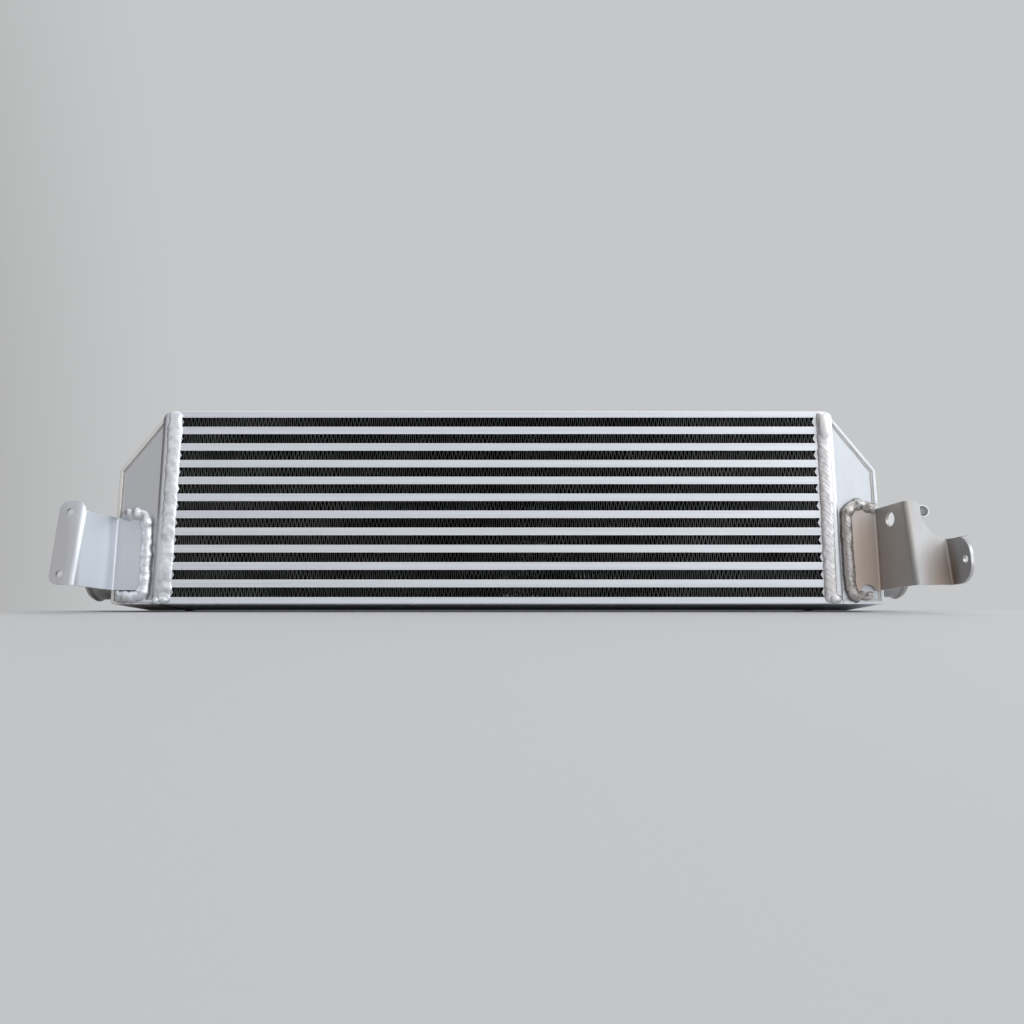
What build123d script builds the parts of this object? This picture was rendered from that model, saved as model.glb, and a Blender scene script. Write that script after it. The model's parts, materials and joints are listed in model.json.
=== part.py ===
from build123d import *
from math import cos, radians, sin, tan
import os

# Front-mount intercooler: brazed bar-and-plate core, fabricated end tanks, folded sheet brackets.
# Millimetres. The origin is the centre of the core's underside; +X right, +Y to the rear, +Z up.

# Core block
CORE_LENGTH = 656.0
CORE_DEPTH = 90.0
SIDE_PLATE = 6.3
SIDE_PLATE_EDGE = 1.2
SHEET = 0.6
COLD_ROWS = 11
COLD_HEIGHT = 9.7
CHARGE_BAR_HEIGHT = 6.3
CHARGE_BAR_DEPTH = 8.0
END_BAR_WIDTH = 8.0
END_BAR_NOSE = 2.6

# Fins: folded strip, its wave length and metal thickness, and how far its edges stay inside the core
COLD_FIN_WAVE = 16.0
COLD_FIN_METAL = 0.36
COLD_FIN_INSET = 1.0
CHARGE_FIN_WAVE = 18.0
CHARGE_FIN_METAL = 0.3
FIN_END_GAP = 0.3

# Header frame, whose top lies below the core's, and the beads that join it to the core
HEADER_WIDTH = 10.0
HEADER_PROUD = 3.0
HEADER_TOP_DROP = 2.0
HEADER_EDGE = 4.0
HEADER_SHOULDER = 6.0
CORE_WELD_WIDTH = 8.0
CORE_WELD_CROWN = 1.2
TOP_WELD_WIDTH = 2.0
TOP_WELD_CROWN = 0.4
TOP_WELD_SETBACK = 0.5

# Tank of 3 mm sheet
TANK_SHEET = 3.0
TANK_REACH = 40.0
TANK_ROOF_DROP = 6.0
TANK_SLANT_DROP = 53.5
TANK_BEND = 1.0
TANK_PLATE_INSET = 1.5
TANK_PLATE_CLEARANCE = 0.2

# Outlet pipes for a 63.5 mm hose; the right one stands a little higher and shorter
PIPE_OUTER_RADIUS = 31.75
PIPE_WALL = 2.0
LEFT_PIPE_HEIGHT = 40.0
LEFT_PIPE_REACH = 36.0
RIGHT_PIPE_HEIGHT = 42.5
RIGHT_PIPE_REACH = 34.5
PIPE_INSIDE = 1.0
PIPE_FIT = 0.15
HOSE_BEAD_WIDTH = 5.0
HOSE_BEAD_HEIGHT = 2.0
HOSE_BEAD_SETBACK = 1.5

# Brackets of folded sheet. Their outer panels lean: the bottom comes further forward than the top.
BRACKET_SHEET = 3.0
BEND_INSIDE = 2.0
PANEL_FORWARD = 53.5
PANEL_LEAN_HEIGHT = 49.0
PANEL_LEAN = 0.12
BRACKET_BOTTOM = 13.6
BRACKET_WELD_RADIUS = 4.7
BRACKET_WELD_OFFSET = 2.0
BRACKET_WELD_HEIGHT = 7.0
BRACKET_WELD_CROWN = 2.8
FOLD_TOLERANCE = 0.01

# Left bracket; what runs across is measured outward from the tank's side wall
LEFT_FLANGE_INNER = -30.0
LEFT_FOLD = -2.7
LEFT_SPLAY = 14.2
LEFT_WEB_TOP = 84.8
LEFT_PANEL_OUTER_TOP = 32.2
LEFT_PANEL_OUTER_BOTTOM = 33.6
LEFT_PANEL_TOP = 93.4
LEFT_PANEL_CORNER = 8.5
LEFT_HOLE_RADIUS = 3.25
LEFT_HOLE_UPPER = (22.3, 83.1)
LEFT_HOLE_LOWER = (24.1, 23.9)
LEFT_WELD_END_SETBACK = 8.0

# Right bracket; what runs across is measured outward from the tank's side wall
RIGHT_FLANGE_INNER = -28.0
RIGHT_FOLD = -4.0
RIGHT_SPLAY = 11.4
RIGHT_TOP = 93.5
RIGHT_FLANGE_FOOT = 5.5
RIGHT_FLANGE_SLANT = 5.0
RIGHT_NOTCH_CENTRE = (-15.7, 11.5)
RIGHT_NOTCH_RADIUS = 7.5
RIGHT_WEB_HOLE_RADIUS = 7.0
RIGHT_WEB_HOLE_ALONG = 22.8
RIGHT_WEB_HOLE_HEIGHT = 79.8
RIGHT_PANEL_CORNER = 6.0
RIGHT_SWEEP_CENTRE = (46.0, 82.3)
RIGHT_SWEEP_RADIUS = 26.6
RIGHT_TAB_FOLD = 40.0
RIGHT_TAB_SPLAY = 10.7
RIGHT_TAB_LENGTH = 30.5
RIGHT_TAB_CORNER = 17.5
RIGHT_TAB_HOLE_RADIUS = 3.5
RIGHT_TAB_HOLE_ALONG = 23.2
RIGHT_TAB_HOLE_HEIGHT = 35.0

# Locating sleeve behind the right bracket, on a lug from the tank's side wall
SLEEVE_OUTER_RADIUS = 6.5
SLEEVE_BORE_RADIUS = 5.0
SLEEVE_LENGTH = 24.0
SLEEVE_REACH = 48.2
SLEEVE_FORWARD = 25.0
SLEEVE_HEIGHT = 93.7
LUG_THICKNESS = 4.0
LUG_ROOT_HEIGHT = 24.0
LUG_ROOT_MIDDLE = 86.0
LUG_TIP_HEIGHT = 10.0
LUG_FIT = 0.15

# Sizes that follow from the driving dimensions
CHARGE_ROWS = COLD_ROWS - 1
LAYER_PITCH = COLD_HEIGHT + CHARGE_BAR_HEIGHT + 2 * SHEET
FIRST_ROW = SIDE_PLATE + SHEET
CORE_TOP = 2 * FIRST_ROW + COLD_ROWS * COLD_HEIGHT + CHARGE_ROWS * (CHARGE_BAR_HEIGHT + 2 * SHEET)
HALF_LENGTH = CORE_LENGTH / 2
HALF_DEPTH = CORE_DEPTH / 2
HEADER_OUTER = HALF_LENGTH + HEADER_WIDTH
HEADER_TOP = CORE_TOP - HEADER_TOP_DROP
TANK_OUTER = HEADER_OUTER + TANK_REACH
TANK_ROOF_HEIGHT = HEADER_TOP - TANK_ROOF_DROP
TANK_KNEE_HEIGHT = TANK_ROOF_HEIGHT - TANK_SLANT_DROP
TANK_FACE = HALF_DEPTH - TANK_PLATE_INSET
BRACKET_FACE = HALF_DEPTH + BRACKET_SHEET
PIPE_BORE_RADIUS = PIPE_OUTER_RADIUS - PIPE_WALL

parts = {}


def cold_row_floor(row):
    """Height of the underside of one row of cold-air fins, counted from 0 at the bottom."""
    return FIRST_ROW + row * LAYER_PITCH


def charge_layer_floor(row):
    """Height of the underside of one charge bar, which lies on the sheet above its fin row."""
    return cold_row_floor(row) + COLD_HEIGHT + SHEET


def block(length, depth, height, x, y, z):
    """A square bar with its middle at x and y and its underside at z."""
    return Pos(x, y, z) * Box(length, depth, height, align=(Align.CENTER, Align.CENTER, Align.MIN))


def side_plate(z, outside):
    """A side plate with its two long outer edges broken."""
    plate = block(CORE_LENGTH, CORE_DEPTH, SIDE_PLATE, 0, 0, z)
    edges = plate.faces().sort_by(Axis.Z)[outside].edges().filter_by(Axis.X)
    return fillet(edges, SIDE_PLATE_EDGE)


def zigzag(span, height, wave, metal):
    """Section of a folded strip that runs from 0 to about span and touches 0 and height."""
    folds = max(2, 2 * round(span / wave))
    step = span / folds
    drop = metal * (step**2 + height**2) ** 0.5 / step
    rise = height - drop
    lower = [(i * step, rise * (i % 2)) for i in range(folds + 1)]
    upper = [(x, z + drop) for x, z in reversed(lower)]
    return make_face(Polyline(*lower, *upper, close=True))


def cold_fin(row):
    """One row of cold-air fins, folded across the core's length and open from front to rear."""
    span = CORE_LENGTH - 2 * (END_BAR_WIDTH + END_BAR_NOSE + FIN_END_GAP)
    depth = CORE_DEPTH - 2 * COLD_FIN_INSET
    section = zigzag(span, COLD_HEIGHT, COLD_FIN_WAVE, COLD_FIN_METAL)
    corner = (-span / 2, depth / 2, cold_row_floor(row))
    return extrude(Plane(origin=corner, x_dir=(1, 0, 0), z_dir=(0, -1, 0)) * section, depth)


def charge_fin(row):
    """The charge-air fin of one layer, folded across the depth and open from tank to tank."""
    span = CORE_DEPTH - 2 * CHARGE_BAR_DEPTH - 2 * FIN_END_GAP
    section = zigzag(span, CHARGE_BAR_HEIGHT, CHARGE_FIN_WAVE, CHARGE_FIN_METAL)
    corner = (-HALF_LENGTH, -span / 2, charge_layer_floor(row))
    return extrude(Plane(origin=corner, x_dir=(0, 1, 0), z_dir=(1, 0, 0)) * section, CORE_LENGTH)


def end_bar(row, side):
    """The bar that closes one fin row at one end, with a pointed nose towards the fins."""
    z = cold_row_floor(row)
    shoulder = HALF_LENGTH - END_BAR_WIDTH
    nose = shoulder - END_BAR_NOSE
    outline = [
        (HALF_LENGTH, z),
        (HALF_LENGTH, z + COLD_HEIGHT),
        (shoulder, z + COLD_HEIGHT),
        (nose, z + COLD_HEIGHT / 2),
        (shoulder, z),
    ]
    bar = extrude(Plane.XZ * make_face(Polyline(*outline, close=True)), HALF_DEPTH, both=True)
    return bar if side > 0 else mirror(bar, about=Plane.YZ)


def parting_sheets():
    """The sheets above and below every charge layer, and those against the side plates."""
    heights = [SIDE_PLATE]
    for row in range(CHARGE_ROWS):
        heights.append(charge_layer_floor(row) - SHEET)
        heights.append(charge_layer_floor(row) + CHARGE_BAR_HEIGHT)
    heights.append(CORE_TOP - SIDE_PLATE - SHEET)
    return [block(CORE_LENGTH, CORE_DEPTH, SHEET, 0, 0, z) for z in heights]


def charge_bar(row, rear):
    """The bar that closes one charge layer at the front or the rear."""
    y = (HALF_DEPTH - CHARGE_BAR_DEPTH / 2) * (1 if rear else -1)
    return block(CORE_LENGTH, CHARGE_BAR_DEPTH, CHARGE_BAR_HEIGHT, 0, y, charge_layer_floor(row))


def charge_opening(x, length):
    """The space inside the charge bars and side plates, through which the charge air leaves the core."""
    depth = CORE_DEPTH - 2 * CHARGE_BAR_DEPTH
    return block(length, depth, CORE_TOP - 2 * FIRST_ROW, x, 0, FIRST_ROW)


def header_frame():
    """The frame between the core and a tank: rounded uprights, a shoulder and an open middle."""
    middle = HALF_LENGTH + HEADER_WIDTH / 2
    slope = TANK_SLANT_DROP / TANK_REACH
    crest = HEADER_OUTER - TANK_ROOF_DROP / slope
    outline = Polyline(
        (HALF_LENGTH, 0),
        (HEADER_OUTER, 0),
        (HEADER_OUTER, TANK_ROOF_HEIGHT),
        (crest, HEADER_TOP),
        (HALF_LENGTH, HEADER_TOP),
        close=True,
    )
    front_view = make_face(outline)
    shoulder = front_view.vertices().sort_by_distance((crest, HEADER_TOP))[0]
    front_view = fillet(shoulder, HEADER_SHOULDER)
    depth = CORE_DEPTH + 2 * HEADER_PROUD
    top_view = Pos(middle, 0) * Rectangle(HEADER_WIDTH, depth)
    top_view = fillet(top_view.vertices().sort_by(Axis.X)[-2:], HEADER_EDGE)
    frame = extrude(Plane.XZ * front_view, depth / 2, both=True) & extrude(top_view, HEADER_TOP)
    return frame - charge_opening(middle, HEADER_WIDTH)


def bead_section(corner, root, crest, crown):
    """Section of a bead in a corner: a bulging arc between the two surfaces that it joins."""
    with BuildLine() as section:
        SagittaArc(root, crest, crown)
        Polyline(crest, corner, root)
    return make_face(section.line)


def core_weld():
    """The beads between the core and a header frame: up the front and rear, and over the top."""
    corner = (HALF_LENGTH, HALF_DEPTH)
    root = (HALF_LENGTH - CORE_WELD_WIDTH, HALF_DEPTH)
    crest = (HALF_LENGTH, HALF_DEPTH + HEADER_PROUD)
    rear = extrude(bead_section(corner, root, crest, CORE_WELD_CROWN), HEADER_TOP)
    ledge = (HALF_LENGTH, HEADER_TOP)
    upper = (HALF_LENGTH, CORE_TOP - TOP_WELD_SETBACK)
    lower = (HALF_LENGTH + TOP_WELD_WIDTH, HEADER_TOP)
    small_bead = bead_section(ledge, upper, lower, TOP_WELD_CROWN)
    top = extrude(Plane.XZ * small_bead, HALF_DEPTH - HEADER_EDGE, both=True)
    return [rear, mirror(rear, about=Plane.XZ), top]


def tank_profile(inset):
    """Front view of a tank, drawn inside its outer skin by the given amount and open to the core."""
    reach = TANK_OUTER - inset
    run = TANK_REACH
    rise = TANK_ROOF_HEIGHT - TANK_KNEE_HEIGHT
    slope = rise / run
    drop = inset * (1 + slope**2) ** 0.5
    knee = TANK_KNEE_HEIGHT - drop + inset * slope
    return [(HEADER_OUTER, inset), (reach, inset), (reach, knee), (HEADER_OUTER, TANK_ROOF_HEIGHT - drop)]


def rounded_profile(inset, radius):
    """The tank's front view as a face, with its two outer bends rounded."""
    face = make_face(Polyline(*tank_profile(inset), close=True))
    bends = face.vertices().sort_by(Axis.X)[-2:]
    return fillet(bends, radius)


def tank_strip():
    """The bent strip that is a tank's floor, side wall and slanted roof, before its hole is cut."""
    outer = rounded_profile(0, TANK_BEND + TANK_SHEET)
    inner = rounded_profile(TANK_SHEET, TANK_BEND)
    return extrude(Plane.XZ * (outer - inner), HALF_DEPTH, both=True)


def tank_wrap(pipe_height):
    """A tank's strip with the hole for its pipe."""
    hole = Cylinder(PIPE_OUTER_RADIUS + PIPE_FIT, TANK_SHEET * 2, rotation=(0, 90, 0))
    return tank_strip() - Pos(TANK_OUTER - TANK_SHEET / 2, 0, pipe_height) * hole


def tank_plate(rear):
    """A tank's front or rear plate, set inside the strip."""
    outline = rounded_profile(TANK_SHEET, TANK_BEND + TANK_PLATE_CLEARANCE)
    plate = extrude(Plane.XZ * outline, TANK_SHEET)
    y = TANK_FACE if rear else -TANK_FACE + TANK_SHEET
    return Pos(0, y, 0) * plate


def outlet_pipe(pipe_height, reach):
    """An outlet pipe with the raised bead that keeps its hose on."""
    start = TANK_OUTER - TANK_SHEET - PIPE_INSIDE
    end = TANK_OUTER + reach
    bead_end = end - HOSE_BEAD_SETBACK
    bead_start = bead_end - HOSE_BEAD_WIDTH
    crest = PIPE_OUTER_RADIUS + HOSE_BEAD_HEIGHT
    with BuildLine() as section:
        Polyline((bead_start, PIPE_OUTER_RADIUS), (start, PIPE_OUTER_RADIUS), (start, PIPE_BORE_RADIUS))
        Polyline((start, PIPE_BORE_RADIUS), (end, PIPE_BORE_RADIUS), (end, PIPE_OUTER_RADIUS))
        Line((end, PIPE_OUTER_RADIUS), (bead_end, PIPE_OUTER_RADIUS))
        Polyline(
            (bead_end, PIPE_OUTER_RADIUS),
            (bead_end - HOSE_BEAD_HEIGHT, crest),
            (bead_start + HOSE_BEAD_HEIGHT, crest),
            (bead_start, PIPE_OUTER_RADIUS),
        )
    pipe = revolve(Plane.XZ * make_face(section.line), Axis.X)
    return Pos(0, 0, pipe_height) * pipe


def lean_plane():
    """Front face of a bracket's outer panel, which leans back towards its top."""
    y = -HALF_DEPTH - PANEL_FORWARD
    return Plane(origin=(0, y, PANEL_LEAN_HEIGHT), x_dir=(1, 0, 0), z_dir=(0, -1, PANEL_LEAN))


def upright_plane(x, y, splay):
    """Plane of an upright panel's inner face: local x runs forward, local y is up, the normal is inward."""
    forward = (sin(radians(splay)), -cos(radians(splay)), 0)
    inward = (-cos(radians(splay)), -sin(radians(splay)), 0)
    return Plane(origin=(x, y, 0), x_dir=forward, z_dir=inward)


def fold_edges(solid, plane_a, plane_b):
    """The edges of a sheet that lie along the line where two of its faces' planes meet."""
    found = []
    for edge in solid.edges():
        ends = [edge @ 0, edge @ 1]
        on_a = all(abs(plane_a.to_local_coords(end).Z) < FOLD_TOLERANCE for end in ends)
        on_b = all(abs(plane_b.to_local_coords(end).Z) < FOLD_TOLERANCE for end in ends)
        if on_a and on_b:
            found.append(edge)
    return found


def round_fold(solid, inside_a, inside_b):
    """Rounds one fold, given the two faces on the inside of the bend; the outside is a sheet larger."""
    solid = fillet(fold_edges(solid, inside_a, inside_b), BEND_INSIDE)
    outside_a = inside_a.offset(-BRACKET_SHEET)
    outside_b = inside_b.offset(-BRACKET_SHEET)
    return fillet(fold_edges(solid, outside_a, outside_b), BEND_INSIDE + BRACKET_SHEET)


def round_web(solid, fold, splay):
    """Rounds the two folds of a bracket's web."""
    web_inner = upright_plane(fold, -BRACKET_FACE, splay)
    web_outer = web_inner.offset(-BRACKET_SHEET)
    panel_back = lean_plane().offset(-BRACKET_SHEET)
    solid = round_fold(solid, Plane.XZ.offset(BRACKET_FACE), web_inner)
    return round_fold(solid, -panel_back, -web_outer)


def folded_sheet(flange_inner, fold, splay, bottom, top, outer):
    """Flange, web and leaning outer panel as one folded sheet with square edges."""
    flange_front = Plane.XZ.offset(BRACKET_FACE)
    web_inner = upright_plane(fold, -BRACKET_FACE, splay)
    panel_front = lean_plane()
    corner = BRACKET_SHEET * tan(radians(90 - splay) / 2)
    height = top - bottom
    width = fold + corner - flange_inner
    flange_middle = -BRACKET_FACE + BRACKET_SHEET / 2
    flange = block(width, BRACKET_SHEET, height, flange_inner + width / 2, flange_middle, bottom)
    reach = 2 * PANEL_FORWARD
    web_outline = Pos((reach - corner) / 2, bottom + height / 2) * Rectangle(reach + corner, height)
    web = extrude(web_inner * web_outline, -BRACKET_SHEET)
    web = split(web, bisect_by=panel_front, keep=Keep.BOTTOM)
    web = split(web, bisect_by=flange_front.offset(-BRACKET_SHEET), keep=Keep.TOP)
    panel_middle = Pos((fold + outer) / 2, bottom + height / 2 - PANEL_LEAN_HEIGHT)
    panel = extrude(panel_front * panel_middle * Rectangle(outer - fold, 2 * height), -BRACKET_SHEET)
    panel = split(panel, bisect_by=web_inner, keep=Keep.BOTTOM)
    panel = split(panel, bisect_by=Plane.XY.offset(bottom), keep=Keep.TOP)
    panel = split(panel, bisect_by=Plane.XY.offset(top), keep=Keep.BOTTOM)
    return flange + web + panel


def left_front_view():
    """Front view of the left bracket: rounded at three corners of its outer panel."""
    forward = PANEL_FORWARD + HALF_DEPTH - BRACKET_FACE - PANEL_LEAN * (LEFT_PANEL_TOP - PANEL_LEAN_HEIGHT)
    fold_line = LEFT_FOLD + forward * tan(radians(LEFT_SPLAY))
    outline = Polyline(
        (LEFT_FLANGE_INNER, BRACKET_BOTTOM),
        (LEFT_PANEL_OUTER_BOTTOM, BRACKET_BOTTOM),
        (LEFT_PANEL_OUTER_TOP, LEFT_PANEL_TOP),
        (fold_line, LEFT_PANEL_TOP),
        (fold_line, LEFT_WEB_TOP),
        (LEFT_FLANGE_INNER, LEFT_WEB_TOP),
        close=True,
    )
    face = make_face(outline)
    top_corners = face.vertices().sort_by(Axis.Y)[-2:]
    bottom_corner = face.vertices().sort_by(Axis.X)[-1]
    return fillet([*top_corners, bottom_corner], LEFT_PANEL_CORNER)


def panel_hole(place):
    """A hole square to the left bracket's leaning panel, placed by its front view."""
    height = (place[1] - PANEL_LEAN_HEIGHT) * (1 + PANEL_LEAN**2) ** 0.5
    return lean_plane() * Pos(place[0], height) * Cylinder(LEFT_HOLE_RADIUS, 4 * BRACKET_SHEET)


def above_web():
    """What is cut away above the left bracket's web: all that lies behind its outer panel."""
    reach = 4 * (HALF_DEPTH + PANEL_FORWARD)
    room = block(reach, reach, LEFT_PANEL_TOP, 0, 0, LEFT_WEB_TOP)
    return split(room, bisect_by=lean_plane().offset(-BRACKET_SHEET), keep=Keep.BOTTOM)


def left_bracket():
    """The left bracket, drawn on the right-hand side: flange, web and outer panel with two holes."""
    outer = LEFT_PANEL_OUTER_BOTTOM
    sheet = folded_sheet(LEFT_FLANGE_INNER, LEFT_FOLD, LEFT_SPLAY, BRACKET_BOTTOM, LEFT_PANEL_TOP, outer)
    sheet = round_web(sheet, LEFT_FOLD, LEFT_SPLAY)
    sheet &= extrude(Plane.XZ * left_front_view(), 2 * (HALF_DEPTH + PANEL_FORWARD))
    return sheet - above_web() - panel_hole(LEFT_HOLE_UPPER) - panel_hole(LEFT_HOLE_LOWER)


def right_front_view():
    """Front view of the right bracket: a foot beside the notch, and the sweep down to the tab."""
    foot = RIGHT_NOTCH_CENTRE[0]
    far = RIGHT_TAB_FOLD + RIGHT_TAB_LENGTH
    sweep_x, sweep_z = RIGHT_SWEEP_CENTRE
    shoulder = sweep_x - RIGHT_SWEEP_RADIUS
    with BuildLine() as outline:
        Polyline(
            (shoulder, sweep_z),
            (shoulder, RIGHT_TOP),
            (RIGHT_FLANGE_INNER, RIGHT_TOP),
            (RIGHT_FLANGE_INNER, RIGHT_FLANGE_FOOT + 2 * RIGHT_FLANGE_SLANT),
            (RIGHT_FLANGE_INNER + RIGHT_FLANGE_SLANT, RIGHT_FLANGE_FOOT),
            (foot, RIGHT_FLANGE_FOOT),
            (foot, BRACKET_BOTTOM),
            (far, BRACKET_BOTTOM),
            (far, sweep_z - RIGHT_SWEEP_RADIUS),
            (sweep_x, sweep_z - RIGHT_SWEEP_RADIUS),
        )
        RadiusArc((sweep_x, sweep_z - RIGHT_SWEEP_RADIUS), (shoulder, sweep_z), RIGHT_SWEEP_RADIUS)
    face = make_face(outline.line)
    corner = face.vertices().sort_by_distance((shoulder, RIGHT_TOP))[0]
    face = fillet(corner, RIGHT_PANEL_CORNER)
    return face - Pos(*RIGHT_NOTCH_CENTRE) * Circle(RIGHT_NOTCH_RADIUS)


def tab_outline(bottom, top, back):
    """Side view of the tab, from behind its fold to its square outer end."""
    middle = Pos((RIGHT_TAB_LENGTH - back) / 2, (bottom + top) / 2)
    return middle * Rectangle(RIGHT_TAB_LENGTH + back, top - bottom)


def add_tab(sheet, inner):
    """Adds the tab that turns forward from the right bracket's outer panel, square and full height."""
    back = 2 * BRACKET_SHEET + PANEL_LEAN * RIGHT_TOP
    tab = extrude(inner * tab_outline(RIGHT_FLANGE_FOOT, RIGHT_TOP, back), -BRACKET_SHEET)
    tab = split(tab, bisect_by=lean_plane().offset(-BRACKET_SHEET), keep=Keep.TOP)
    return split(sheet, bisect_by=inner.offset(-BRACKET_SHEET), keep=Keep.TOP) + tab


def tab_corners(inner):
    """What is cut away to round the two outer corners of the tab."""
    top = RIGHT_SWEEP_CENTRE[1] - RIGHT_SWEEP_RADIUS
    square = tab_outline(BRACKET_BOTTOM, top, 0)
    rounded = fillet(square.vertices().sort_by(Axis.X)[-2:], RIGHT_TAB_CORNER)
    return extrude(inner * (square - rounded), 2 * BRACKET_SHEET, both=True)


def right_bracket():
    """The right bracket: flange with a notch, web with a hole, outer panel with a sweep, and a tab."""
    tab_inner = upright_plane(RIGHT_TAB_FOLD, -HALF_DEPTH - PANEL_FORWARD, RIGHT_TAB_SPLAY)
    web_inner = upright_plane(RIGHT_FOLD, -BRACKET_FACE, RIGHT_SPLAY)
    far = RIGHT_TAB_FOLD + RIGHT_TAB_LENGTH
    sheet = folded_sheet(RIGHT_FLANGE_INNER, RIGHT_FOLD, RIGHT_SPLAY, RIGHT_FLANGE_FOOT, RIGHT_TOP, far)
    sheet = round_web(sheet, RIGHT_FOLD, RIGHT_SPLAY)
    sheet = add_tab(sheet, tab_inner)
    sheet = round_fold(sheet, lean_plane(), tab_inner)
    reach = HALF_DEPTH + PANEL_FORWARD + 2 * RIGHT_TAB_LENGTH
    sheet &= extrude(Plane.XZ * right_front_view(), reach)
    sheet -= tab_corners(tab_inner)
    hole_depth = 4 * BRACKET_SHEET
    web_hole = Pos(RIGHT_WEB_HOLE_ALONG, RIGHT_WEB_HOLE_HEIGHT) * Cylinder(RIGHT_WEB_HOLE_RADIUS, hole_depth)
    tab_hole = Pos(RIGHT_TAB_HOLE_ALONG, RIGHT_TAB_HOLE_HEIGHT) * Cylinder(RIGHT_TAB_HOLE_RADIUS, hole_depth)
    return sheet - web_inner * web_hole - tab_inner * tab_hole


def bracket_weld(route, bracket):
    """The heavy bead round a bracket's flange, given its route in the front view."""
    outline = Sketch()
    for start, end in zip(route, route[1:]):
        run = Line(start, end)
        middle = run @ 0.5
        slot = SlotCenterToCenter(run.length, 2 * BRACKET_WELD_RADIUS)
        outline += Pos(middle.X, middle.Y) * Rot(0, 0, run.tangent_angle_at(0)) * slot
    front = Plane.XZ.offset(TANK_FACE)
    bead = extrude(front * outline, BRACKET_WELD_HEIGHT)
    bead = chamfer(bead.faces().sort_by(Axis.Y)[0].edges(), BRACKET_WELD_CROWN)
    return Pos(TANK_OUTER, 0, 0) * bead - bracket - tank_strip() - header_frame()


def left_weld_route():
    """The left bead: above the flange, down its inner edge and back below it."""
    inner = LEFT_FLANGE_INNER - BRACKET_WELD_OFFSET
    upper = LEFT_WEB_TOP + BRACKET_WELD_OFFSET
    lower = BRACKET_BOTTOM - BRACKET_WELD_OFFSET
    outer = LEFT_FOLD - LEFT_WELD_END_SETBACK
    return [(outer, upper), (inner, upper), (inner, lower), (outer, lower)]


def right_weld_route():
    """The right bead: above the flange, down its inner edge and round the slant of its foot."""
    outer = RIGHT_FOLD - BRACKET_WELD_OFFSET
    inner = RIGHT_FLANGE_INNER - BRACKET_WELD_OFFSET
    upper = RIGHT_TOP + BRACKET_WELD_OFFSET
    knee = RIGHT_FLANGE_FOOT + 2 * RIGHT_FLANGE_SLANT
    toe = RIGHT_FLANGE_INNER + RIGHT_FLANGE_SLANT
    return [(outer, upper), (inner, upper), (inner, knee), (toe, RIGHT_FLANGE_FOOT)]


def locating_sleeve():
    """A hollow sleeve with its axis to the front, behind the right bracket."""
    tube = Cylinder(SLEEVE_OUTER_RADIUS, SLEEVE_LENGTH) - Cylinder(SLEEVE_BORE_RADIUS, SLEEVE_LENGTH)
    return Pos(TANK_OUTER + SLEEVE_REACH, -SLEEVE_FORWARD, SLEEVE_HEIGHT) * Rot(90, 0, 0) * tube


def locating_lug():
    """The tapered flat bar from the tank's side wall that carries the sleeve."""
    sleeve_x = TANK_OUTER + SLEEVE_REACH
    outline = Polyline(
        (TANK_OUTER, LUG_ROOT_MIDDLE - LUG_ROOT_HEIGHT / 2),
        (sleeve_x, SLEEVE_HEIGHT - LUG_TIP_HEIGHT / 2),
        (sleeve_x, SLEEVE_HEIGHT + LUG_TIP_HEIGHT / 2),
        (TANK_OUTER, LUG_ROOT_MIDDLE + LUG_ROOT_HEIGHT / 2),
        close=True,
    )
    front = Plane.XZ.offset(SLEEVE_FORWARD - LUG_THICKNESS / 2)
    bar = extrude(front * make_face(outline), LUG_THICKNESS)
    seat = Rot(90, 0, 0) * Cylinder(SLEEVE_OUTER_RADIUS + LUG_FIT, SLEEVE_LENGTH)
    return bar - Pos(sleeve_x, -SLEEVE_FORWARD, SLEEVE_HEIGHT) * seat


def add_pair(name, right, left=None):
    """Adds a solid drawn on the right-hand side, and the mirror image of it or of another on the left."""
    parts[f"right_{name}"] = right
    parts[f"left_{name}"] = mirror(left or right, about=Plane.YZ)


def build_core():
    """The core's plates, bars, sheets and fins."""
    parts["top_plate"] = side_plate(CORE_TOP - SIDE_PLATE, -1)
    parts["bottom_plate"] = side_plate(0, 0)
    parts["parting_sheets"] = Compound(children=parting_sheets())
    for row in range(CHARGE_ROWS):
        parts[f"front_bar_{row + 1:02d}"] = charge_bar(row, rear=False)
        parts[f"rear_bar_{row + 1:02d}"] = charge_bar(row, rear=True)
    for row in range(COLD_ROWS):
        parts[f"cold_fin_{row + 1:02d}"] = cold_fin(row)
    parts["charge_fins"] = Compound(children=[charge_fin(row) for row in range(CHARGE_ROWS)])
    for name, side in (("left_end_bars", -1), ("right_end_bars", 1)):
        parts[name] = Compound(children=[end_bar(row, side) for row in range(COLD_ROWS)])


def build_tanks():
    """The header frames, their welds, the tanks and the outlet pipes."""
    add_pair("header_frame", header_frame())
    parts["right_core_weld"] = Compound(children=core_weld())
    parts["left_core_weld"] = Compound(children=[mirror(bead, about=Plane.YZ) for bead in core_weld()])
    add_pair("tank_wrap", tank_wrap(RIGHT_PIPE_HEIGHT), tank_wrap(LEFT_PIPE_HEIGHT))
    add_pair("tank_front_plate", tank_plate(rear=False))
    add_pair("tank_rear_plate", tank_plate(rear=True))
    right_pipe = outlet_pipe(RIGHT_PIPE_HEIGHT, RIGHT_PIPE_REACH)
    left_pipe = outlet_pipe(LEFT_PIPE_HEIGHT, LEFT_PIPE_REACH)
    add_pair("outlet_pipe", right_pipe, left_pipe)


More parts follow.
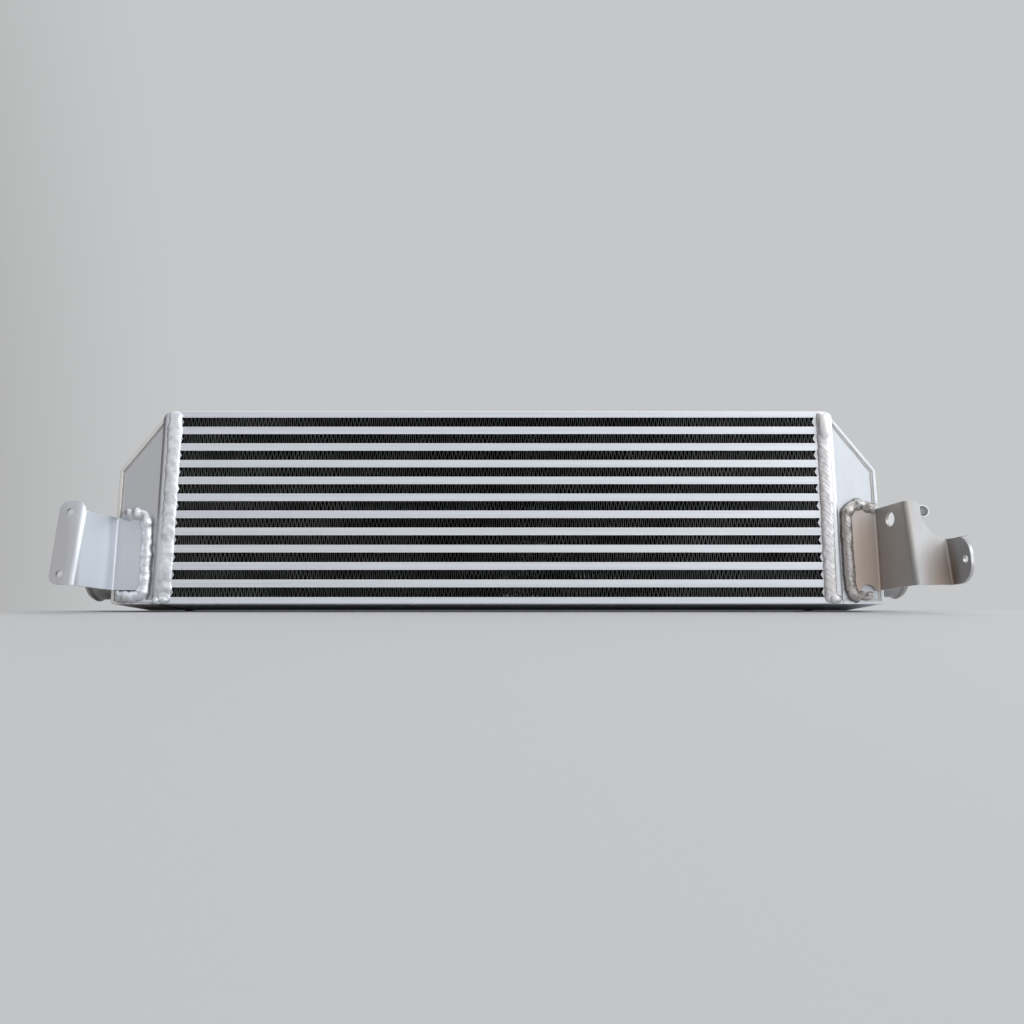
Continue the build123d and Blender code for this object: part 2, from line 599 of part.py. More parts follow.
def build_brackets():
    """The two brackets with their beads, and the sleeve with its lug."""
    left = Pos(TANK_OUTER, 0, 0) * left_bracket()
    right = Pos(TANK_OUTER, 0, 0) * right_bracket()
    parts["left_bracket"] = mirror(left, about=Plane.YZ)
    parts["left_bracket_weld"] = mirror(bracket_weld(left_weld_route(), left), about=Plane.YZ)
    parts["right_bracket"] = right
    parts["right_bracket_weld"] = bracket_weld(right_weld_route(), right)
    parts["locating_sleeve"] = locating_sleeve()
    parts["locating_lug"] = locating_lug()


build_core()
build_tanks()
build_brackets()
os.makedirs("parts", exist_ok=True)
for node, solid in parts.items():
    export_step(solid, f"parts/{node}.step")
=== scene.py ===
"""Looks of a front-mount intercooler: finishes, fins, weld beads and softened edges on its frame.

Everything is in metres in the frame's own axes: +X to the right-hand tank, -Y towards the viewer,
+Z up. Where a class counts in millimetres, its docstring says so.
"""

import json
import logging
from dataclasses import dataclass
from enum import Enum
from math import atan2, cos, pi, radians, sin, sqrt, tan
from typing import Sequence

import bmesh
import bpy
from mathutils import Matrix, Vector, noise

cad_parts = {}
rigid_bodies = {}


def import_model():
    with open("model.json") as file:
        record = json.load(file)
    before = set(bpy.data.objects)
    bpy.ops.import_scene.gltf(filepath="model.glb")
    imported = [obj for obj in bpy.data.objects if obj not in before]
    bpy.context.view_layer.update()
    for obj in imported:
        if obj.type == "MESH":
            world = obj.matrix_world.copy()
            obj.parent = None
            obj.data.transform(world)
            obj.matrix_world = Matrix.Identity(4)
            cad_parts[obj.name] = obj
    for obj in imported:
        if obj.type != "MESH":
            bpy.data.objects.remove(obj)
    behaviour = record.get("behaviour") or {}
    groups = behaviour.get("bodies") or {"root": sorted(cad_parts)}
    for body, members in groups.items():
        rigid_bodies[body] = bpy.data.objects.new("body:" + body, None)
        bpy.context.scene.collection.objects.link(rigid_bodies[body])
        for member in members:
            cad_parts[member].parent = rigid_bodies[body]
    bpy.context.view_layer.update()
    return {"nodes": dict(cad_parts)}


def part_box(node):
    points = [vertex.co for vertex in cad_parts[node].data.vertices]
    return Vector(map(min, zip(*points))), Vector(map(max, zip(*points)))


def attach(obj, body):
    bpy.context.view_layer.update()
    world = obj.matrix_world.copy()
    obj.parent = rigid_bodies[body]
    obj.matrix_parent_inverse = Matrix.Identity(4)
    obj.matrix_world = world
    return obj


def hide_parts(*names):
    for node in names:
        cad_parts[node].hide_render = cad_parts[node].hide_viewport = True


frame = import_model()
LOG = logging.getLogger("intercooler")

MM = 0.001
AHEAD = Vector((0, -1, 0))
NOISE_MIDDLE = (0.3, 0.7)
GRAIN_HEIGHT = 0.03 * MM
DOUBLES_APART = 0.002 * MM
FLAT_ANGLE = radians(0.4)
SHARP_ANGLE = radians(28)
END_WIDTH = 0.25  # share of a bead's width that is left at its very ends
SHADED_EDGE_START = 0.66  # share of the half width at which painted shade starts on a bead's shaded edge
SHADED_EDGE_GAIN = 3.0

Pair = tuple[float, float]
Triple = tuple[float, float, float]
Route = list[tuple[Vector, Vector]]
Socket = bpy.types.NodeSocket
Material = bpy.types.Material
Shape = bmesh.types.BMesh


class Side(Enum):
    """The two ends of the cooler, by the sign of their x."""

    LEFT = -1
    RIGHT = 1

    @property
    def word(self) -> str:
        """The side's name as it stands in the frame's node names."""
        return self.name.lower()

    def place(self, x: float, y: float, z: float) -> Vector:
        """A point given in millimetres, with x measured outward from the core's middle."""
        return Vector((self.value * x, y, z)) * MM


class Slot(Enum):
    """The material slots of the part's record."""

    CORE = "core_metal"
    FIN = "fin_metal"
    TANK = "tank_sheet"
    BRACKET = "bracket_sheet"
    WELD = "weld_metal"
    PIPE = "pipe_metal"


class Graph:
    """A node tree with short ways to add and join its nodes."""

    def __init__(self, tree: bpy.types.NodeTree) -> None:
        """Takes over a tree and empties it."""
        self.tree = tree
        tree.nodes.clear()

    def add(self, kind: str, inputs: dict[str | int, object] | None = None,
            **settings: object) -> bpy.types.Node:
        """Adds one node.

        Args:
            kind: The node type's identifier, without "ShaderNode".
            inputs: For each input that is set, its value or the socket that gives it.
            settings: Properties to set on the node.

        Returns:
            The new node.
        """
        node = self.tree.nodes.new("ShaderNode" + kind)
        for key, value in settings.items():
            setattr(node, key, value)
        for key, value in (inputs or {}).items():
            if isinstance(value, Socket):
                self.tree.links.new(value, node.inputs[key])
            else:
                node.inputs[key].default_value = value
        return node

    def objects(self, scale: Sequence[float] = (1, 1, 1),
                shift: Sequence[float] = (0, 0, 0)) -> Socket:
        """Object coordinates, scaled and then shifted along each axis."""
        place = self.add("TexCoord").outputs["Object"]
        return self.add("Mapping", {"Vector": place, "Location": shift, "Scale": scale}).outputs[0]

    def noise(self, scale: Triple, detail: float = 3.0, rough: float = 0.5) -> Socket:
        """A noise pattern on Object coordinates.

        Args:
            scale: How many features there are in a metre along each axis.
            detail: Number of octaves.
            rough: How strong the finer octaves are.

        Returns:
            The pattern's value.
        """
        pattern = self.add("TexNoise", {"Vector": self.objects(scale), "Scale": 1.0,
                                        "Detail": detail, "Roughness": rough})
        return pattern.outputs["Fac"]

    def remap(self, value: Socket, source: Pair, result: Pair, smooth: bool = False) -> Socket:
        """Maps a value from one range to another, clamped at both ends.

        Args:
            value: The value.
            source: The values that become the ends of the result.
            result: The ends of the result.
            smooth: Whether the change eases in and out.

        Returns:
            The mapped value.
        """
        inputs = {"Value": value, "From Min": source[0], "From Max": source[1],
                  "To Min": result[0], "To Max": result[1]}
        node = self.add("MapRange", inputs, interpolation_type="SMOOTHSTEP" if smooth else "LINEAR")
        return node.outputs["Result"]

    def maths(self, operation: str, first: Socket, second: Socket | float = 0.0) -> Socket:
        """The result of a Math node with that operation on two values."""
        return self.add("Math", {0: first, 1: second}, operation=operation).outputs["Value"]

    def mix(self, share: Socket, first: Triple | Socket, second: Triple | Socket) -> Socket:
        """Mixes two colours.

        Args:
            share: The share of the second colour.
            first: A colour, or the socket that gives it.
            second: A colour, or the socket that gives it.

        Returns:
            The mixed colour.
        """
        first, second = (colour if isinstance(colour, Socket) else (*colour, 1.0)
                         for colour in (first, second))
        return self.add("Mix", {0: share, 6: first, 7: second}, data_type="RGBA").outputs[2]

    def parts(self, vector: Socket) -> Sequence[Socket]:
        """The x, y and z of a vector."""
        return self.add("SeparateXYZ", {"Vector": vector}).outputs


class Surface(Graph):
    """The node tree of a new material."""

    def __init__(self, name: str) -> None:
        """Starts the material.

        Args:
            name: The material's name.
        """
        self.material = bpy.data.materials.new(name)
        self.material.use_nodes = True
        super().__init__(self.material.node_tree)

    def shade(self, inputs: dict[str, object]) -> Material:
        """Ends the tree with a Principled shader.

        Args:
            inputs: The shader's inputs, as for add.

        Returns:
            The finished material.
        """
        shader = self.add("BsdfPrincipled", inputs)
        self.add("OutputMaterial", {"Surface": shader.outputs["BSDF"]})
        return self.material

    def metal(self, colour: Socket, wear: Socket, roughness: Pair, pattern: Socket,
              height: float) -> Material:
        """Ends the tree as bare metal.

        Args:
            colour: Its colour.
            wear: The pattern of its roughness.
            roughness: The least and most that it is.
            pattern: The height of its fine relief, from 0 to 1.
            height: The true height of that relief in metres.

        Returns:
            The finished material.
        """
        rough = self.remap(wear, NOISE_MIDDLE, roughness)
        bump = self.add("Bump", {"Height": pattern, "Distance": height, "Strength": 1.0})
        return self.shade({"Base Color": colour, "Roughness": rough, "Metallic": 1.0,
                           "Normal": bump.outputs["Normal"]})


@dataclass(frozen=True)
class LinedMetal:
    """Extruded aluminium: satin, with fine lines along its length and faint cloudy patches."""

    name: str
    colour: Triple = (0.80, 0.82, 0.87)
    line_colour: Triple = (0.62, 0.635, 0.68)
    roughness: float = 0.40
    line_scale: Triple = (3.0, 520.0, 520.0)
    line_share: float = 0.55
    line_height: float = 0.05 * MM
    patch_scale: Triple = (28.0, 60.0, 60.0)
    patch_share: float = 0.16

    def make(self) -> Material:
        """Builds the material.

        Returns:
            The material.
        """
        surface = Surface(self.name)
        lines = surface.noise(self.line_scale, detail=4.0, rough=0.65)
        patches = surface.noise(self.patch_scale, detail=2.0)
        mask = surface.maths("ADD", surface.remap(lines, (0.40, 0.68), (0.0, 1.0)),
                             surface.remap(patches, (0.35, 0.75), (0.0, self.patch_share)))
        share = surface.maths("MULTIPLY", mask, self.line_share)
        colour = surface.mix(share, self.colour, self.line_colour)
        reach = (self.roughness - 0.02, self.roughness + 0.04)
        return surface.metal(colour, patches, reach, lines, self.line_height)


@dataclass(frozen=True)
class Tint:
    """A region of a sheet with painted light and shade: a colour laid round a centre, which fades
    outside its core. In millimetres.
    """

    colour: Triple
    centre: Triple
    radii: Triple
    share: float = 0.85
    core: float = 0.5

    def over(self, surface: Surface, colour: Socket) -> Socket:
        """Mixes the painted light and shade into a colour round its centre, with a soft edge.

        Args:
            surface: The material's node tree.
            colour: The colour so far.

        Returns:
            The tinted colour.
        """
        scale = [1.0 / (radius * MM) for radius in self.radii]
        shift = [-middle * growth for middle, growth in zip(Vector(self.centre) * MM, scale)]
        inputs = {0: surface.objects(scale, shift)}
        apart = surface.add("VectorMath", inputs, operation="LENGTH").outputs["Value"]
        share = surface.remap(apart, (self.core, 1.0), (self.share, 0.0), smooth=True)
        return surface.mix(share, colour, self.colour)


@dataclass(frozen=True)
class SheetMetal:
    """Rolled aluminium sheet: satin, mottled, with soft vertical bands and regions of painted light
    and shade.
    """

    name: str
    colour: Triple = (0.68, 0.68, 0.70)
    mottle: Triple = (0.58, 0.58, 0.60)
    mottle_share: float = 0.6
    roughness: float = 0.46
    band_scale: Triple = (60.0, 45.0, 12.0)
    grain_scale: Triple = (900.0, 900.0, 900.0)
    painted_lights: Sequence[Tint] = ()

    def make(self) -> Material:
        """Builds the material.

        Returns:
            The material.
        """
        surface = Surface(self.name)
        bands = surface.noise(self.band_scale, detail=3.0, rough=0.6)
        grain = surface.noise(self.grain_scale, detail=2.0)
        share = surface.remap(bands, (0.35, 0.75), (0.0, self.mottle_share))
        colour = surface.mix(share, self.colour, self.mottle)
        # painted light and shade, region by region
        for painted_region in self.painted_lights:
            colour = painted_region.over(surface, colour)
        reach = (self.roughness - 0.05, self.roughness + 0.06)
        return surface.metal(colour, bands, reach, grain, GRAIN_HEIGHT)


@dataclass(frozen=True)
class WeldMetal:
    """A bare weld bead: bright crowns, darker brownish creases between its ripples, and painted
    shade in the same brown along a bead's shaded edge.
    """

    name: str
    colour: Triple = (0.76, 0.76, 0.78)
    crease: Triple = (0.36, 0.31, 0.28)
    crease_share: float = 0.55
    stain_share: float = 0.25
    stain_scale: Triple = (75.0, 75.0, 75.0)
    grain_scale: Triple = (420.0, 420.0, 420.0)
    roughness: float = 0.38

    def make(self) -> Material:
        """Builds the material, which reads the bead's crease attribute: its creases and the painted
        shade on its shaded edge.

        Returns:
            The material.
        """
        surface = Surface(self.name)
        creases = surface.add("Attribute", attribute_name="crease").outputs["Fac"]
        stains = surface.noise(self.stain_scale)
        mask = surface.maths("ADD", surface.remap(creases, (0.35, 1.0), (0.0, self.crease_share)),
                             surface.remap(stains, (0.48, 0.72), (0.0, self.stain_share)))
        colour = surface.mix(mask, self.colour, self.crease)
        reach = (self.roughness - 0.04, self.roughness + 0.10)
        grain = surface.noise(self.grain_scale)
        return surface.metal(colour, stains, reach, grain, GRAIN_HEIGHT)


@dataclass(frozen=True)
class FinMetal:
    """Thin fin strip with painted light and shade: a painted highlight on its cut edges, painted
    shade on the walls between its folds, and darker painted shade deeper in and midway along each
    row.
    """

    name: str
    # edge is a painted highlight on the cut edges, wall is painted shade between the folds, and the
    # darkest colour is painted shade far inside the core
    edge: Triple = (0.44, 0.44, 0.44)
    wall: Triple = (0.11, 0.11, 0.11)
    deep_shade: Triple = (0.004, 0.004, 0.004)
    # from open_depth in to dark_depth the painted shade deepens; middle_share is how much painted
    # light is left midway along a row
    open_depth: float = 44.1 * MM
    dark_depth: float = 38 * MM
    middle_share: float = 0.5
    middle_reach: Pair = (0.04, 0.22)
    patch_scale: Triple = (16.0, 30.0, 60.0)

    def make(self) -> Material:
        """Builds the material.

        Returns:
            The material.
        """
        surface = Surface(self.name)
        normal = surface.parts(surface.add("NewGeometry").outputs["Normal"])
        # painted highlight: faces that look to the front or back, found from the normal, take the
        # edge colour
        cut = surface.remap(surface.maths("ABSOLUTE", normal[1]), (0.6, 0.9), (0.0, 1.0))
        place = surface.parts(surface.objects())
        depth, along = (surface.maths("ABSOLUTE", place[axis]) for axis in (1, 0))
        # painted shade: darker further into the core and midway along the row; the metal fades out
        # with it
        light = surface.remap(depth, (self.dark_depth, self.open_depth), (0.0, 1.0))
        span = surface.remap(along, self.middle_reach, (self.middle_share, 1.0), smooth=True)
        curve = surface.maths("MULTIPLY", surface.maths("POWER", light, 2.0), span)
        patches = surface.remap(surface.noise(self.patch_scale), NOISE_MIDDLE, (0.15, 1.0))
        near = surface.mix(surface.maths("MULTIPLY", cut, patches), self.wall, self.edge)
        return surface.shade({"Base Color": surface.mix(curve, self.deep_shade, near),
                              "Metallic": surface.remap(curve, (0.0, 1.0), (0.0, 0.9)),
                              "Roughness": 0.6, "Specular IOR Level": 0.05})


@dataclass(frozen=True)
class Paper:
    """The pale matt sheet that the cooler stands on."""

    name: str = "studio_sheet"
    colour: Triple = (0.63, 0.63, 0.64)
    cloud: Triple = (0.59, 0.59, 0.60)
    cloud_share: float = 0.06
    cloud_scale: Triple = (3.0, 3.0, 3.0)

    def make(self) -> Material:
        """Builds the material.

        Returns:
            The material.
        """
        surface = Surface(self.name)
        clouds = surface.noise(self.cloud_scale)
        share = surface.remap(clouds, NOISE_MIDDLE, (0.0, self.cloud_share))
        return surface.shade({"Base Color": surface.mix(share, self.colour, self.cloud),
                              "Roughness": 0.9, "Specular IOR Level": 0.2})


Metal = LinedMetal | SheetMetal | WeldMetal | FinMetal


def finish(metal: Metal) -> Material:
    """The metal's material, which is built the first time that it is asked for."""
    return bpy.data.materials.get(metal.name) or metal.make()


def new_object(name: str, mesh: Shape, smooth: bool = True) -> bpy.types.Object:
    """Makes an object at the origin from a bmesh, and frees the bmesh.

    Args:
        name: The piece's name.
        mesh: The finished shape, in place.
        smooth: Whether its faces are shaded smooth.

    Returns:
        The linked object.
    """
    for face in mesh.faces:
        face.smooth = smooth
    data = bpy.data.meshes.new(name)
    mesh.to_mesh(data)
    mesh.free()
    piece = bpy.data.objects.new(name, data)
    bpy.context.scene.collection.objects.link(piece)
    return piece


def dress(piece: bpy.types.Object, metal: Metal, slot: Slot, *nodes: str) -> None:
    """Gives a piece its finish, its body and the nodes that it stands for, and reports it.

    Args:
        piece: The object at the origin.
        metal: Its finish.
        slot: The record's material slot that the finish belongs to; not used.
        nodes: Nodes of the frame that the piece replaces.
    """
    piece.data.materials.clear()
    piece.data.materials.append(finish(metal))
    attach(piece, "root")
    if nodes:
        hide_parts(*nodes)
    LOG.info("%s: %d faces", piece.name, len(piece.data.polygons))


def paint_node(node: str, metal: Metal) -> None:
    """Gives a node of the frame its finish.

    Args:
        node: The node's name.
        metal: The finish.
    """
    for slot in frame["nodes"][node].material_slots:
        slot.material = finish(metal)
    LOG.info("%s: painted", node)


def refine(node: str, width: float, metal: Metal, slot: Slot, name: str = "") -> None:
    """Puts a dressed copy in a node's place, with its sharp edges broken to catch the light.

    Args:
        node: The node of the frame.
        width: Width of the bevel in millimetres.
        metal: The copy's finish.
        slot: The record's material slot that the finish belongs to.
        name: The copy's name, or nothing for the node's own with an ending.
    """
    mesh = bmesh.new()
    mesh.from_mesh(frame["nodes"][node].data)
    bmesh.ops.remove_doubles(mesh, verts=mesh.verts, dist=DOUBLES_APART)
    bmesh.ops.dissolve_limit(mesh, angle_limit=FLAT_ANGLE, verts=mesh.verts, edges=mesh.edges)
    sharp = [edge for edge in mesh.edges
             if edge.is_manifold and edge.calc_face_angle(0.0) > SHARP_ANGLE]
    bmesh.ops.bevel(mesh, geom=sharp, offset=width * MM, offset_type="OFFSET", segments=2,
                    profile=0.5, affect="EDGES", material=-1, clamp_overlap=True, loop_slide=False)
    piece = new_object(name or f"{node}_finished", mesh)
    piece.modifiers.new("even_shading", "WEIGHTED_NORMAL").keep_sharp = True
    dress(piece, metal, slot, node)


def unite(name: str, shapes: Sequence[Shape], metal: Metal, slot: Slot, *nodes: str,
          smooth: bool = True) -> None:
    """Makes one dressed piece of several closed shapes.

    Args:
        name: The piece's name.
        shapes: The shapes, which are freed.
        metal: Its finish.
        slot: The record's material slot that the finish belongs to.
        nodes: Nodes of the frame that it replaces.
        smooth: Whether its faces are shaded smooth.
    """
    whole = bmesh.new()
    for shape in shapes:
        passing = bpy.data.meshes.new("passing")
        shape.to_mesh(passing)
        shape.free()
        whole.from_mesh(passing)
        bpy.data.meshes.remove(passing)
    dress(new_object(name, whole, smooth), metal, slot, *nodes)


@dataclass(frozen=True)
class Lump:
    """A swelling of a weld bead, in millimetres: where it is along the bead and what it adds."""

    at: float
    length: float
    wider: float
    higher: float

    def share(self, at: float) -> float:
        """How much of the lump is felt at a distance along the bead, from 0 to 1."""
        apart = (at - self.at) / self.length
        return max(0.0, 1.0 - apart * apart) ** 2


@dataclass(frozen=True)
class Station:
    """One place along a bead's route, with the directions of its section."""

    place: Vector
    across: Vector
    out: Vector
    at: float


class Uneven(Enum):
    """A bead's unevennesses: wave length in millimetres, channel, and change across the bead."""

    SLOW = (9.0, 0.0, 0.0)
    QUICK = (2.6, 7.0, 0.0)
    DRIFT = (14.0, 19.0, 0.0)
    CREASE = (5.0, 83.0, 0.9)
    SKIN = (6.0, 31.0, 1.1)
    RIGHT_EDGE = (6.5, 43.0, 0.0)
    LEFT_EDGE = (6.5, 57.0, 0.0)
    RIGHT_FRAY = (2.4, 61.0, 0.0)
    LEFT_FRAY = (2.4, 71.0, 0.0)

    def level(self, at: float, seed: float, side: float = 0.0) -> float:
        """Its level, from about -1 to 1, at a distance along a bead and a place across it."""
        wave, channel, change = self.value
        return noise.noise(Vector((at / wave, change * side + seed, channel)))


@dataclass
class Bead:
    """A weld bead laid along a route. All sizes are in millimetres.

    Attributes:
        route: Points along its foot, each with the direction in which it stands out there.
        half_width: Half its width.
        crown: How far it stands out.
        root: How far it sinks into what it joins.
        pitch: Distance between ripples.
        ripple: Their height.
        bow: How far they curve back at both edges, in pitches.
        lean: How far they slant across the bead, in pitches.
        scallop: How much the edges swell with each, as a share of the half width.
        wander: How far the bead strays sideways.
        step: Distance between its sections.
        rounding: How far the route's corners are rounded.
        end_length: Length over which each end closes.
        sides: Number of points round a section.
        taper: How pointed the section is; 1 is an ellipse.
        knead: Height of its slow unevenness.
        fray: How uneven the edges are, as a share of the half width.
        shaded_edge: Which edge gets painted shade in the crease colour: 1 the right-hand one, -1
            the left-hand one, 0 neither.
        seed: Which unevenness it gets.
        lumps: Its swellings.
        sway: How far the ripples are moved slowly to and fro.
        jolt: How far they are moved quickly.
        swell: How much its width changes slowly, as a share of it.
        heave: How much its crown changes slowly, as a share of it.
    """

    route: Route
    half_width: float
    crown: float
    root: float = 1.2
    pitch: float = 2.2
    ripple: float = 0.35
    bow: float = 0.5
    lean: float = 0.0
    scallop: float = 0.05
    wander: float = 0.25
    step: float = 0.4
    rounding: float = 2.0
    end_length: float = 3.0
    sides: int = 20
    taper: float = 0.85
    knead: float = 0.0
    fray: float = 0.0
    shaded_edge: float = 0.0
    seed: float = 0.0
    lumps: Sequence[Lump] = ()
    sway: float = 2.2
    jolt: float = 0.8
    swell: float = 0.10
    heave: float = 0.12

    def stations(self) -> list[Station]:
        """Finds places evenly along the route, with its corners rounded.

        Returns:
            The places, from the route's start to its end.
        """
        places = [point.copy() for point, _ in self.route]
        outs = [out.normalized() for _, out in self.route]
        lengths = [(b - a).length / MM for a, b in zip(places, places[1:])]
        total = sum(lengths)
        count = max(8, round(total / self.step))
        spots, aims = [], []
        for index in range(count + 1):
            left = total * index / count
            leg = 0
            while leg < len(lengths) - 1 and left > lengths[leg]:
                left -= lengths[leg]
                leg += 1
            share = min(1.0, left / lengths[leg])
            spots.append(places[leg].lerp(places[leg + 1], share))
            aims.append(outs[leg].lerp(outs[leg + 1], share))
        for _ in range(round((self.rounding / self.step) ** 2)):
            for line in (spots, aims):
                line[1:-1] = [(before + middle * 2 + after) / 4
                              for before, middle, after in zip(line, line[1:], line[2:])]
        found, at = [], 0.0
        for index, spot in enumerate(spots):
            along = (spots[min(index + 1, count)] - spots[max(index - 1, 0)]).normalized()
            across = along.cross(aims[index]).normalized()
            if index:
                at += (spot - spots[index - 1]).length / MM
            found.append(Station(spot, across, across.cross(along), at))
        return found

    def section(self, station: Station, turn: float, total: float) -> tuple[Vector, float]:
        """The surface point of the bead at one station and one angle round its section.

        Args:
            station: The place along the bead.
            turn: Angle round the section; 0 is the bead's right edge and a quarter turn its crown.
            total: The bead's whole length in millimetres.

        Returns:
            The point, and how deep it lies in a crease, from 0 to 1.
        """
        at, seed = station.at, self.seed
        side, height = cos(turn), sin(turn)
        slow, quick, drift = (kind.level(at, seed)
                              for kind in (Uneven.SLOW, Uneven.QUICK, Uneven.DRIFT))
        moved = at + self.sway * slow + self.jolt * quick
        phase = moved / self.pitch + self.bow * side * side + self.lean * side
        wave = abs(sin(pi * phase))
        depth = 0.55 + 0.9 * Uneven.CREASE.level(at, seed, side)
        width = self.half_width * (1 + self.swell * slow + self.scallop * (wave - 0.5))
        crown = self.crown * (1 + self.heave * drift)
        for lump in self.lumps:
            share = lump.share(at)
            width += share * lump.wider
            crown += share * lump.higher
        ends = min(1.0, at / self.end_length, (total - at) / self.end_length)
        closing = sqrt(max(0.0, 1.0 - (1.0 - ends) ** 2))
        width *= END_WIDTH + (1 - END_WIDTH) * closing
        edge = (Uneven.RIGHT_EDGE if side > 0 else Uneven.LEFT_EDGE).level(at, seed)
        fine = (Uneven.RIGHT_FRAY if side > 0 else Uneven.LEFT_FRAY).level(at, seed)
        width *= 1 + self.fray * (edge + 0.35 * fine)
        uneven = Uneven.SKIN.level(at, seed, side)
        rise = self.ripple * (0.4 + depth) * (wave**0.7 - 0.6) + self.knead * uneven
        if height > 0:
            lift = (crown * closing + rise * height) * height**self.taper
        else:
            lift = self.root * height
        across = side * width + self.wander * drift
        crease = max(0.0, 1.0 - wave * 1.6) * min(1.0, depth + 0.2) if height > 0.05 else 0.0
        # painted shade along one edge of the bead, carried by the crease attribute
        crease = max(crease, (side * self.shaded_edge - SHADED_EDGE_START) * SHADED_EDGE_GAIN)
        return station.place + (station.across * across + station.out * lift) * MM, crease

    def build(self) -> Shape:
        """Builds the bead.

        Returns:
            One closed skin with a crease attribute.
        """
        stations = self.stations()
        rings = len(stations) - 1
        mesh = bmesh.new()
        bmesh.ops.create_cone(mesh, cap_ends=True, cap_tris=False, segments=self.sides, radius1=1.0,
                              radius2=1.0, depth=1.0)
        upright = [edge for edge in mesh.edges if edge.verts[0].co.z * edge.verts[1].co.z < 0]
        bmesh.ops.subdivide_edges(mesh, edges=upright, cuts=rings - 1, use_grid_fill=True)
        crease = mesh.verts.layers.float.new("crease")
        for vert in mesh.verts:
            station = stations[round((vert.co.z + 0.5) * rings)]
            turn = atan2(vert.co.y, vert.co.x)
            vert.co, vert[crease] = self.section(station, turn, stations[-1].at)
        bmesh.ops.recalc_face_normals(mesh, faces=mesh.faces)
        return mesh


@dataclass(frozen=True)
class Blob:
    """A drop of weld metal: a flattened ball. Sizes are in millimetres."""

    centre: Vector
    radii: Triple
    dent: float = 0.06
    seed: float = 0.0

    def build(self) -> Shape:
        """Builds the drop.

        Returns:
            A closed, slightly uneven ball with a crease attribute.
        """
        mesh = bmesh.new()
        bmesh.ops.create_icosphere(mesh, subdivisions=4, radius=1.0)
        mesh.verts.layers.float.new("crease")
        for vert in mesh.verts:
            unit = vert.co.copy()
            swell = 1 + self.dent * noise.noise(unit * 1.7 + Vector((self.seed, 0, 0)))
            vert.co = self.centre + Vector([unit[i] * self.radii[i] * swell for i in range(3)]) * MM
        return mesh


@dataclass
class Core:
    """The core's plates, bars, parting sheets and end bars, with a painted highlight on the sheets
    and painted shade on the end bars. Its edges are in millimetres.
    """

    bar_metal: LinedMetal = LinedMetal("bar_metal")
    plate_metal: LinedMetal = LinedMetal("plate_metal", roughness=0.36)
    # the parting sheets are painted near white: a painted highlight along the bars' upper and lower
    # edges
    sheet_metal: LinedMetal = LinedMetal("sheet_edges", (0.95, 0.97, 1.0),
                                         (0.86, 0.88, 0.92), roughness=0.34)
    # the end bars are painted darker: painted shade in the recess at the ends of the rows
    end_metal: LinedMetal = LinedMetal("end_bar_metal", (0.66, 0.66, 0.69),
                                       (0.42, 0.42, 0.44))
    bar_edge: float = 0.22
    plate_edge: float = 0.5

    def build(self) -> None:
        """Dresses the core's nodes and softens the bars and plates."""
        paint_node("parting_sheets", self.sheet_metal)
        for side in Side:
            paint_node(f"{side.word}_end_bars", self.end_metal)
        for node in sorted(frame["nodes"]):
            if node.startswith(("front_bar", "rear_bar")):
                refine(node, self.bar_edge, self.bar_metal, Slot.CORE)
        for node in ("top_plate", "bottom_plate"):
            refine(node, self.plate_edge, self.plate_metal, Slot.CORE)


